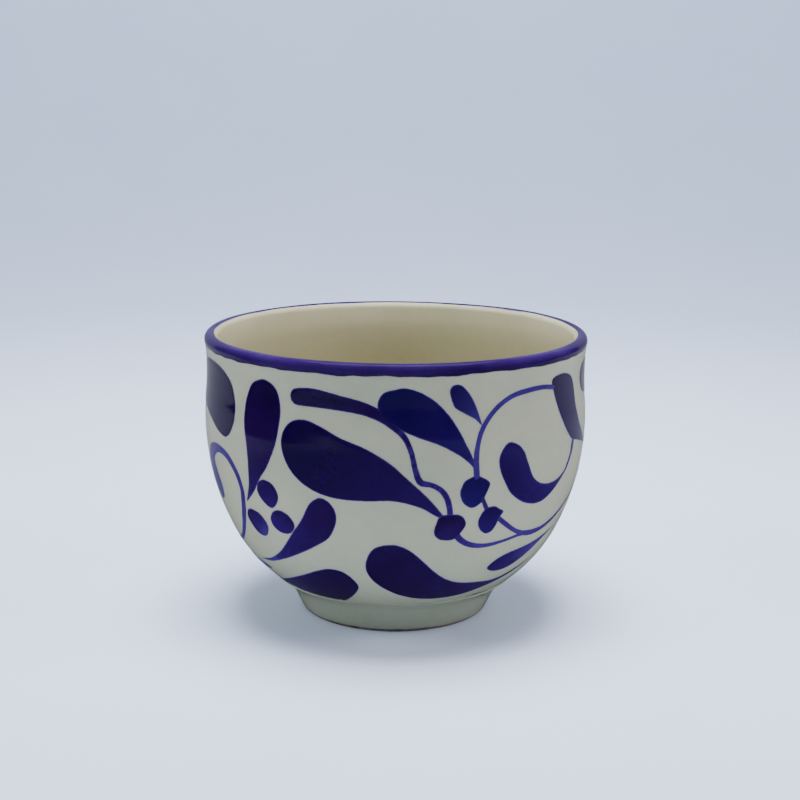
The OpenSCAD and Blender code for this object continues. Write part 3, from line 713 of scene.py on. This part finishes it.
def brush_material(name, dark, middle, light, cool, bleed, soft_mm=0.22):
    """Cobalt pigment brushed on and melted into the glaze: near black violet where the brush was set down,
    bluer where it was lifted, a thin bright line where it bled out at the edge, and a glossy skin. On the
    rim band the flow runs lighter up to the crown, partly as painted highlight."""
    material, tree, shader, place = new_material(name, {"IOR": 1.5})
    edge = add(tree, "ShaderNodeAttribute", {"attribute_name": "edge_mm"}).outputs["Fac"]
    flow = add(tree, "ShaderNodeAttribute", {"attribute_name": "flow"}).outputs["Fac"]
    clouds = add(tree, "ShaderNodeTexNoise", {
        "Scale": noise_of(6.0), "Detail": 3.0, "Roughness": 0.5}, {"Vector": place})
    grain = add(tree, "ShaderNodeTexNoise", {"Scale": noise_of(0.7), "Detail": 2.0}, {"Vector": place})
    thinness = add(tree, "ShaderNodeAttribute", {"attribute_name": "thinness"}).outputs["Fac"]
    drawn_out = add(tree, "ShaderNodeMath", {"operation": "MULTIPLY_ADD", 1: 0.6}, {
        0: flow, 2: thinness})
    lean = add(tree, "ShaderNodeMath", {"operation": "MULTIPLY_ADD", 1: 0.35}, {
        0: clouds.outputs["Fac"], 2: drawn_out.outputs[0]})
    tone = add(tree, "ShaderNodeValToRGB", None, {"Fac": lean.outputs[0]},
               [(0.2, dark), (0.55, middle), (0.85, light), (1.0, bleed)])
    coolness = add(tree, "ShaderNodeAttribute", {"attribute_name": "coolness"}).outputs["Fac"]
    cooled = add(tree, "ShaderNodeMix", {"data_type": "RGBA", 7: rgba(cool)}, {
        0: coolness, 6: tone.outputs["Color"]})
    fine = add(tree, "ShaderNodeMix", {"data_type": "RGBA", "blend_type": "MULTIPLY", 0: 0.3}, {
        6: cooled.outputs[2], 7: grain.outputs["Fac"]})
    ragged = add(tree, "ShaderNodeMath", {"operation": "MULTIPLY_ADD", 1: 0.16}, {
        0: grain.outputs["Fac"], 2: edge})
    line = add(tree, "ShaderNodeValToRGB", None, {"Fac": ragged.outputs[0]},
               [(0.18, grey(1.0)), (0.3, grey(0.6)), (0.5, grey(0.0))])
    edged = add(tree, "ShaderNodeMix", {"data_type": "RGBA", 7: rgba(bleed)}, {
        0: line.outputs["Color"], 6: fine.outputs[2]})
    tree.links.new(edged.outputs[2], shader.inputs["Base Color"])
    cover = add(tree, "ShaderNodeMapRange", {
        "From Min": 0.07, "From Max": 0.07 + soft_mm, "interpolation_type": "SMOOTHSTEP"}, {
        "Value": ragged.outputs[0]})
    tree.links.new(cover.outputs["Result"], shader.inputs["Alpha"])
    rough = add(tree, "ShaderNodeMapRange", {"To Min": 0.06, "To Max": 0.15}, {
        "Value": clouds.outputs["Fac"]})
    tree.links.new(rough.outputs["Result"], shader.inputs["Roughness"])
    waves = add(tree, "ShaderNodeTexNoise", {"Scale": noise_of(5.0), "Detail": 2.0}, {"Vector": place})
    slow = add(tree, "ShaderNodeBump", {"Strength": 0.5, "Distance": 0.04 * MM}, {
        "Height": waves.outputs["Fac"]})
    tree.links.new(slow.outputs["Normal"], shader.inputs["Normal"])
    return material


def clay_material(name, pale, dark):
    """Fired stoneware clay left bare: matt, gritty, toasted brown in patches, with darker grog grains."""
    material, tree, shader, place = new_material(name, {"IOR": 1.45})
    patches = add(tree, "ShaderNodeTexNoise", {"Scale": noise_of(3.0), "Detail": 6.0}, {
        "Vector": place})
    grog = add(tree, "ShaderNodeTexVoronoi", {"Scale": noise_of(0.5)}, {"Vector": place})
    tone = add(tree, "ShaderNodeValToRGB", None, {"Fac": patches.outputs["Fac"]},
               [(0.35, dark), (0.65, pale)])
    grains = add(tree, "ShaderNodeValToRGB", None, {"Fac": grog.outputs["Distance"]},
                 [(0.0, grey(0.55)), (0.35, grey(1.0))])
    mixed = add(tree, "ShaderNodeMix", {"data_type": "RGBA", "blend_type": "MULTIPLY", 0: 0.7}, {
        6: tone.outputs["Color"], 7: grains.outputs["Color"]})
    tree.links.new(mixed.outputs[2], shader.inputs["Base Color"])
    rough = add(tree, "ShaderNodeMapRange", {"To Min": 0.75, "To Max": 0.95}, {
        "Value": patches.outputs["Fac"]})
    tree.links.new(rough.outputs["Result"], shader.inputs["Roughness"])
    bump = add(tree, "ShaderNodeBump", {"Strength": 0.6, "Distance": 0.05 * MM}, {
        "Height": grog.outputs["Distance"]})
    tree.links.new(bump.outputs["Normal"], shader.inputs["Normal"])
    return material


def sweep_material(name, tone_a, tone_b):
    """Matt studio paper sweep: pale, a touch blue, with a barely visible fibre."""
    material, tree, shader, place = new_material(name, {"IOR": 1.45, "Specular IOR Level": 0.2})
    fibre = add(tree, "ShaderNodeTexNoise", {"Scale": noise_of(60.0), "Detail": 3.0}, {"Vector": place})
    tone = add(tree, "ShaderNodeValToRGB", None, {"Fac": fibre.outputs["Fac"]},
               [(0.3, tone_a), (0.7, tone_b)])
    tree.links.new(tone.outputs["Color"], shader.inputs["Base Color"])
    rough = add(tree, "ShaderNodeMapRange", {"To Min": 0.8, "To Max": 0.95}, {
        "Value": fibre.outputs["Fac"]})
    tree.links.new(rough.outputs["Result"], shader.inputs["Roughness"])
    return material


# ---------------------------------------------------------------- what a user would change

def colour_property(name, description, code):
    """A colour a user may change; its default is an sRGB hex value."""
    return bpy.props.FloatVectorProperty(
        name=name, description=description, subtype="COLOR", size=3, min=0.0, max=1.0,
        default=linear(code))


class TeacupGlaze(bpy.types.PropertyGroup):
    """Colours, roughness and fineness of the glaze"""
    outside_pale: colour_property("Outside, thin", "Outside glaze where it lies thin", "#b5b08f")
    outside_deep: colour_property("Outside, even", "Outside glaze where it lies evenly", "#ada98c")
    outside_thick: colour_property(
        "Outside, pooled", "Outside glaze near the foot, where it pools", "#a3a589")
    # The inside's pale and even colours show only in the strip at the lip, lighter than the colour below:
    # painted light and shade.
    inside_pale: colour_property(
        "Inside, thin", "Inside glaze at the lip, where it lies thin", "#d4caa0")
    inside_even: colour_property("Inside, even", "Inside glaze between thin patches", "#c9bf96")
    # Painted shade: a darker copy of the inside glaze, for down in the bowl.
    inside_shaded: colour_property("Inside, deep", "Inside glaze down in the bowl", "#b7ad86")
    foot_thick: colour_property("Foot", "Glaze on the foot", "#a9ab90")
    gloss: bpy.props.FloatProperty(
        name="Roughness", description="Roughness of the glaze skin", default=0.08, min=0.02, max=0.5)
    segments: bpy.props.IntProperty(
        name="Segments", description="Points round the cup in the glaze meshes",
        default=360, min=96, max=720)


class TeacupPaint(bpy.types.PropertyGroup):
    """Colours of the pigment, and how far the rim band reaches down"""
    dark: colour_property("Pooled cobalt", "Cobalt where it pooled", "#15012e")
    middle: colour_property("Even cobalt", "Cobalt inside a mark", "#22013f")
    light: colour_property("Thin cobalt", "Cobalt where the brush was lifted", "#2b0856")
    cool: colour_property("Navy cobalt", "Cobalt of the marks that fired bluer", "#060147")
    bleed: colour_property("Bled cobalt", "Thin line where a mark bled out at its edge", "#40286e")
    band: colour_property("Rim band", "Cobalt on the rim", "#361b59")
    green: colour_property("Green dab", "The greenish dab near the foot", "#26352f")
    # The thin band colour shows towards the crown: partly thinner cobalt, partly painted highlight along the
    # crown.
    band_thin_and_lit: colour_property("Rim band, thin", "Thin cobalt on the rim", "#4b336e")
    band_depth: bpy.props.FloatProperty(
        name="Band depth", description="Depth of the rim band below the lip", subtype="DISTANCE",
        unit="LENGTH", default=0.0024, min=0.001, max=0.006)


class TeacupStage(bpy.types.PropertyGroup):
    """Camera, lamps, paper sweep, and the boards that the gloss mirrors"""
    lens: bpy.props.FloatProperty(
        name="Lens", description="Focal length", subtype="DISTANCE_CAMERA",
        default=75.8, min=20, max=200)
    distance: bpy.props.FloatProperty(
        name="Camera distance", description="Level distance from the cup's axis", subtype="DISTANCE",
        unit="LENGTH", default=0.3703, min=0.1, max=3)
    camera_height: bpy.props.FloatProperty(
        name="Camera height", description="Height over the table", subtype="DISTANCE", unit="LENGTH",
        default=0.1267, min=0.0, max=2)
    aim_height: bpy.props.FloatProperty(
        name="Aim height", description="Height the camera looks at", subtype="DISTANCE", unit="LENGTH",
        default=0.0474, min=0.0, max=0.2)
    camera_side: bpy.props.FloatProperty(
        name="Camera to the right", description="Level shift of the camera", subtype="DISTANCE",
        unit="LENGTH", default=0.00101, min=-0.1, max=0.1)
    roll: bpy.props.FloatProperty(
        name="Roll", description="Camera roll", subtype="ANGLE", unit="ROTATION",
        default=math.radians(0.437))
    key_power: bpy.props.FloatProperty(
        name="Overhead power", description="Power of the overhead lamp", subtype="POWER", unit="POWER",
        default=2.7, min=0, max=500)
    back_power: bpy.props.FloatProperty(
        name="Backdrop power", description="Power of the lamp on the backdrop",
        subtype="POWER", unit="POWER",
        default=2.4, min=0, max=500)
    side_power: bpy.props.FloatProperty(
        name="Side power", description="Power of the side lamps", subtype="POWER", unit="POWER",
        default=0.636, min=0, max=500)
    room_light: bpy.props.FloatProperty(
        name="Room light", description="Even light from all around", default=0.305, min=0, max=10)
    table_card: bpy.props.FloatProperty(
        name="Table card", description="How bright the gloss sees the table",
        default=0.07, min=0, max=10)
    table_far: bpy.props.FloatProperty(
        name="Table card, far", description="How bright the gloss sees the table beside and behind the cup",
        default=0.5, min=0, max=10)
    back_card: bpy.props.FloatProperty(
        name="Back card", description="How bright the gloss sees the backdrop",
        default=0.3, min=0, max=10)
    ceiling_card: bpy.props.FloatProperty(
        name="Ceiling card", description="How bright the gloss sees the ceiling",
        default=1.0, min=0, max=10)
    sweep_a: colour_property("Sweep", "Paper sweep", "#e5ecf6")
    sweep_b: colour_property("Sweep, fibre", "Paper sweep between fibres", "#e8eff8")


# ---------------------------------------------------------------- operators

class TEACUP_OT_wall(bpy.types.Operator):
    """Outside and inside glaze of the bowl"""
    bl_idname = "teacup.wall"
    bl_label = "Glazed wall"

    def execute(self, context):
        look = context.scene.teacup_glaze
        outside = glaze_material("glazed_stoneware_outside", look.outside_pale, look.outside_deep,
                                 look.outside_thick, 4, 30, look.gloss)
        verts, faces = shell(SKIN, GLAZE_T * 0.9, look.segments)
        make_object("cup_outside_glaze", verts, faces, outside, ["outside_glaze"])
        # Inside, the glaze takes the shaded colour below 55 mm: painted shade down in the bowl, under a
        # lighter strip at the lip.
        inside = glaze_material("glazed_stoneware_inside", look.inside_pale, look.inside_even,
                                look.inside_shaded, 55, 63, look.gloss)
        verts, faces = shell(INNER, GLAZE_T * 0.9, look.segments)
        centre = len(INNER) * look.segments
        last = (len(INNER) - 1) * look.segments
        faces.append(tuple(last + k for k in range(look.segments)))
        faces.append(tuple(centre + k for k in range(look.segments))[::-1])
        ring = set(range(last, last + look.segments)) | set(range(centre, centre + look.segments))
        faces = [f for f in faces if len(f) > 4 or not set(f) <= ring]
        make_object("cup_inside_glaze", verts, faces, inside, ["inside_glaze"])
        clay = clay_material("fired_stoneware_body", linear("#b9ac98"), linear("#9d8f7b"))
        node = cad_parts["bowl_clay"]
        node.data.materials.clear()
        node.data.materials.append(clay)
        return {"FINISHED"}


class TEACUP_OT_rim(bpy.types.Operator):
    """Brushed cobalt band over the lip"""
    bl_idname = "teacup.rim"
    bl_label = "Rim band"

    def execute(self, context):
        paint = context.scene.teacup_paint
        count = 540
        across = 26
        both = np.vstack([OUTER, INNER[1:16]])
        lengths = arc_lengths(both)
        top_edge = float(np.interp(CUP_H - paint.band_depth / MM, OUTER[:, 1], OUTER_S))
        inner_edge = lengths[len(OUTER) + 4]
        verts, edges, flows = [], [], []
        for depth_sign in (1, -1):
            for j in range(across):
                for k in range(count):
                    azimuth = 2 * math.pi * k / count
                    x, y = math.sin(azimuth), math.cos(azimuth)
                    low = top_edge + 0.6 * smooth_noise(3.0 * x, 3.0 * y, 0.0, 7)
                    low += 0.25 * smooth_noise(14.0 * x, 14.0 * y, 0.0, 8)
                    high = inner_edge + 0.2 * smooth_noise(4.0 * x, 4.0 * y, 0.0, 9)
                    s = low + (high - low) * j / (across - 1)
                    row = np.array([np.interp(s, lengths, both[:, c]) for c in range(4)])
                    row[2:] /= np.linalg.norm(row[2:])
                    gap = min(s - low, high - s)
                    lift = float(pigment_height(gap)) if depth_sign > 0 else -PIGMENT_SINK
                    verts.append(surface_point(azimuth, row, lift))
                    edges.append(gap)
                    # The band lightens from its lower edge up to the crown, over random streaks: partly
                    # thinner cobalt, partly painted highlight along the crown.
                    streak = smooth_noise(2.5 * x, 2.5 * y, s / 3.0, 10)
                    flows.append(0.9 * (s - low) / (high - low) + 0.5 * streak)
        faces = []
        layer = across * count
        for j in range(across - 1):
            for k in range(count):
                n = (k + 1) % count
                a, b, c, d = j * count + k, j * count + n, (j + 1) * count + n, (j + 1) * count + k
                faces.append((a, b, c, d))
                faces.append((layer + d, layer + c, layer + b, layer + a))
        for j in (0, across - 1):
            for k in range(count):
                n = (k + 1) % count
                a, b = j * count + k, j * count + n
                faces.append((b, a, layer + a, layer + b) if j == 0 else (a, b, layer + b, layer + a))
        band = brush_material(
            "cobalt_band", paint.middle, paint.band, paint.band_thin_and_lit, paint.cool, paint.middle)
        piece = make_object("rim_cobalt_band", verts, faces, band, ["rim_band"])
        float_attribute(piece, "edge_mm", edges)
        float_attribute(piece, "flow", flows)
        float_attribute(piece, "thinness", [0.05] * len(verts))
        float_attribute(piece, "coolness", [0.0] * len(verts))
        return {"FINISHED"}


class TEACUP_OT_foot(bpy.types.Operator):
    """Glazed and bare parts of the foot"""
    bl_idname = "teacup.foot"
    bl_label = "Foot"

    def execute(self, context):
        look = context.scene.teacup_glaze
        outside, bare, under = foot_section()
        glaze = glaze_material("glazed_stoneware_foot", look.outside_thick, look.foot_thick,
                               look.foot_thick, 0, 6, look.gloss)
        clay = clay_material("bare_stoneware_foot", linear("#8a7862"), linear("#5b4a3a"))

        def place(item, azimuth):
            row, depth = item
            x, y = math.sin(azimuth), -math.cos(azimuth)
            drip = 0.16 * smooth_noise(5 * x, 5 * y, 0.0, 12) * max(0.0, 1.0 - row[1] / 1.6)
            grit = 0.03 * smooth_noise(60 * x, 60 * y, row[0], 13) * max(0.0, 1.0 - row[1] / 1.6)
            radius = row[0] + row[2] * -depth + grit
            height = max(0.0, row[1] + row[3] * -depth + (drip if row[1] > 0.6 else 0.0))
            return (radius * x * MM, radius * y * MM, height * MM)

        pieces = [
            ("foot_glaze_skin", outside, glaze, "foot_glaze", ["foot_glaze"]),
            ("foot_bare_clay", bare, clay, "bare_clay", ["foot_ring"]),
            ("foot_hollow_glaze", under, glaze, "foot_glaze", ["underside_glaze"]),
        ]
        for name, section, material, slot, nodes in pieces:
            rows = with_normals(section)
            rows[:, 2:] *= -1
            loop = [(row, 0.0) for row in rows] + [(row, 0.25) for row in rows[::-1]]
            verts, faces = ring_grid(loop, look.segments, place, close_rows=True)
            if name == "foot_hollow_glaze":
                first = (len(rows) - 1) * look.segments
                second = len(rows) * look.segments
                faces = [f for f in faces if not (first <= f[0] < first + look.segments)]
                faces.append(tuple(first + k for k in range(look.segments)))
                faces.append(tuple(second + k for k in range(look.segments))[::-1])
            make_object(name, verts, faces, material, nodes)
        return {"FINISHED"}


class TEACUP_OT_brushwork(bpy.types.Operator):
    """Cobalt leaves, vines, berries and beads, and the green dabs"""
    bl_idname = "teacup.brushwork"
    bl_label = "Brushwork"

    def execute(self, context):
        paint = context.scene.teacup_paint
        cobalt = brush_material("cobalt_underglaze", paint.dark, paint.middle, paint.light,
                                paint.cool, paint.bleed)
        green = brush_material("green_underglaze", paint.green, paint.green, paint.green,
                               paint.green, linear("#4d5f57"))
        outlines = {name: leaf_outline(points) for name, points in LEAVES.items()}
        outlines.update({name: vine_outline(points) for name, points in VINES.items()})
        jobs = [("front_" + name, parts, tail, 0) for name, parts, tail in MARKS]
        jobs += SIDE_MARKS
        jobs += [
            ("back_" + name, parts, tail, 180) for name, parts, tail in MARKS if name not in FRONT_ONLY
        ]
        for seed, (node, parts, tail, turn) in enumerate(jobs):
            verts, faces, edges, flows = mark_mesh([outlines[p] for p in parts], tail, turn, seed)
            dab = node.endswith("dab")
            piece = make_object("brush_" + node, verts, faces, green if dab else cobalt, [node])
            float_attribute(piece, "edge_mm", edges)
            float_attribute(piece, "flow", flows)
            mark = node if node in PIGMENT else node.split("_", 1)[1]
            thinness, coolness = PIGMENT[mark]
            float_attribute(piece, "thinness", [thinness] * len(verts))
            float_attribute(piece, "coolness", [coolness] * len(verts))
        return {"FINISHED"}


def area_light(name, place, aim, width, height, power, colour, spread=180.0):
    """A soft lamp that lights but isn't mirrored: what the gloss shows is on the cards."""
    light = bpy.data.lights.new(name, "AREA")
    light.shape = "RECTANGLE"
    light.size = width
    light.size_y = height
    light.energy = power
    light.spread = math.radians(spread)
    light.color = linear(colour)
    lamp = bpy.data.objects.new(name, light)
    lamp.location = place
    lamp.rotation_euler = (Vector(aim) - Vector(place)).to_track_quat("-Z", "Y").to_euler()
    lamp.visible_glossy = False
    bpy.context.scene.collection.objects.link(lamp)
    return lamp


def stage_mesh(name, verts, faces, material):
    mesh = bpy.data.meshes.new(name)
    mesh.from_pydata(verts, [], faces)
    mesh.shade_smooth()
    mesh.materials.append(material)
    piece = bpy.data.objects.new(name, mesh)
    bpy.context.scene.collection.objects.link(piece)
    return piece


def card(name, corners, colour, strength, far=None):
    """A dim board that only the gloss sees. With far = (x, y, near, away, strength) it brightens
    between the distances near and away, in metres, from the point x, y."""
    material = bpy.data.materials.new(name)
    material.use_nodes = True
    tree = material.node_tree
    tree.nodes.clear()
    glow = add(tree, "ShaderNodeEmission", {"Color": rgba(linear(colour)), "Strength": strength})
    add(tree, "ShaderNodeOutputMaterial", links={"Surface": glow.outputs[0]})
    if far:
        place = add(tree, "ShaderNodeTexCoord").outputs["Object"]
        away = add(tree, "ShaderNodeVectorMath", {
            "operation": "DISTANCE", 1: (far[0], far[1], 0)}, {0: place})
        fade = add(tree, "ShaderNodeMapRange", {
            "From Min": far[2], "From Max": far[3], "To Min": strength, "To Max": far[4],
            "interpolation_type": "SMOOTHSTEP"}, {"Value": away.outputs["Value"]})
        tree.links.new(fade.outputs["Result"], glow.inputs["Strength"])
    board = stage_mesh(name, corners, [tuple(range(len(corners)))], material)
    board.visible_camera = False
    board.visible_diffuse = False
    board.visible_shadow = False
    board.visible_transmission = False
    return board


class TEACUP_OT_stage(bpy.types.Operator):
    """Round paper sweep, soft lamps, the boards that the gloss mirrors, and the camera"""
    bl_idname = "teacup.stage"
    bl_label = "Stage"

    def execute(self, context):
        stage = context.scene.teacup_stage
        paper = sweep_material("paper_sweep", stage.sweep_a, stage.sweep_b)
        flat, bend, top = 0.42, 0.38, 1.3
        path = [(r, 0.0) for r in np.linspace(0.002, flat, 12)]
        for t in np.linspace(0.08, math.pi / 2, 20):
            path.append((flat + bend * math.sin(t), bend - bend * math.cos(t)))
        path += [(flat + bend, top)]
        count = 96
        verts, faces = ring_grid(
            path, count, lambda at, a: (at[0] * math.cos(a), at[0] * math.sin(a), at[1]))
        faces.append(tuple(range(count))[::-1])
        sweep = stage_mesh("paper_sweep", verts, faces, paper)
        sweep.visible_glossy = False

        world = bpy.data.worlds.new("studio")
        world.use_nodes = True
        back = world.node_tree.nodes["Background"]
        back.inputs["Color"].default_value = rgba(linear("#f8f6ff"))
        back.inputs["Strength"].default_value = stage.room_light
        world.cycles_visibility.glossy = False
        context.scene.world = world
        area_light("overhead_softbox", (0, 0.05, 0.8), (0, 0.05, 0), 0.45, 0.45,
                   stage.key_power, "#dfe9ff", 65)
        area_light("backdrop_softbox", (0, 0.3, 0.85), (0, 0.8, 0.1), 0.9, 0.3,
                   stage.back_power, "#d1e1ff", 90)
        area_light("right_fill", (0.75, -0.15, 0.4), (0, 0, 0.03), 0.4, 0.4,
                   stage.side_power, "#f4f0ff", 60)
        area_light("left_fill", (-0.75, -0.15, 0.4), (0, 0, 0.03), 0.4, 0.4,
                   0.92 * stage.side_power, "#ebf4ff", 60)
        card("table_card", [(-0.24, -0.304, 0), (0.24, -0.304, 0), (0.24, 0.02, 0), (0.42, 0.1, 0),
                            (0.42, 0.32, 0), (-0.42, 0.32, 0), (-0.42, 0.1, 0), (-0.24, 0.02, 0)],
             "#dfe6f2", stage.table_card, (0, -0.12, 0.12, 0.32, stage.table_far))
        card("back_card", [(-0.40, 0.32, 0), (0.36, 0.32, 0), (0.36, 0.42, 0.5), (-0.40, 0.42, 0.5)],
             "#dfe6f2", stage.back_card)
        card("ceiling_card", [(-0.35, -0.1, 0.8), (0.35, -0.1, 0.8), (0.35, 0.4, 0.8), (-0.35, 0.4, 0.8)],
             "#ffffff", stage.ceiling_card)

        camera = bpy.data.cameras.new("camera")
        camera.lens = stage.lens
        camera.sensor_width = 36.0
        eye = bpy.data.objects.new("camera", camera)
        context.scene.collection.objects.link(eye)
        place = Vector((stage.camera_side, -stage.distance, stage.camera_height))
        look = (Vector((stage.camera_side, 0, stage.aim_height)) - place).normalized()
        right = look.cross(Vector((0, 0, 1))).normalized()
        up = right.cross(look)
        turn = stage.roll
        right, up = (right * math.cos(turn) + up * math.sin(turn),
                     up * math.cos(turn) - right * math.sin(turn))
        eye.matrix_world = Matrix((right, up, -look)).transposed().to_4x4()
        eye.matrix_world.translation = place
        context.scene.camera = eye
        return {"FINISHED"}


class TEACUP_PT_panel(bpy.types.Panel):
    """Sidebar panel with the steps in order"""
    bl_idname = "TEACUP_PT_panel"
    bl_label = "Teacup"
    bl_space_type = "VIEW_3D"
    bl_region_type = "UI"
    bl_category = "Teacup"

    def draw(self, context):
        column = self.layout.column()
        for step in STEPS:
            column.operator(step.bl_idname)
        for name in ("teacup_glaze", "teacup_paint", "teacup_stage"):
            group = getattr(context.scene, name)
            for key in type(group).__annotations__:
                column.prop(group, key)


GROUPS = (TeacupGlaze, TeacupPaint, TeacupStage)
STEPS = (TEACUP_OT_wall, TEACUP_OT_rim, TEACUP_OT_foot, TEACUP_OT_brushwork, TEACUP_OT_stage)


def register():
    for item in GROUPS + STEPS + (TEACUP_PT_panel,):
        bpy.utils.register_class(item)
    bpy.types.Scene.teacup_glaze = bpy.props.PointerProperty(type=TeacupGlaze)
    bpy.types.Scene.teacup_paint = bpy.props.PointerProperty(type=TeacupPaint)
    bpy.types.Scene.teacup_stage = bpy.props.PointerProperty(type=TeacupStage)


def unregister():
    del bpy.types.Scene.teacup_stage
    del bpy.types.Scene.teacup_paint
    del bpy.types.Scene.teacup_glaze
    for item in reversed(GROUPS + STEPS + (TEACUP_PT_panel,)):
        bpy.utils.unregister_class(item)


def main():
    register()
    bpy.ops.teacup.wall()
    bpy.ops.teacup.rim()
    bpy.ops.teacup.foot()
    bpy.ops.teacup.brushwork()
    bpy.ops.teacup.stage()
    bpy.context.view_layer.update()


if __name__ == "__main__":
    main()
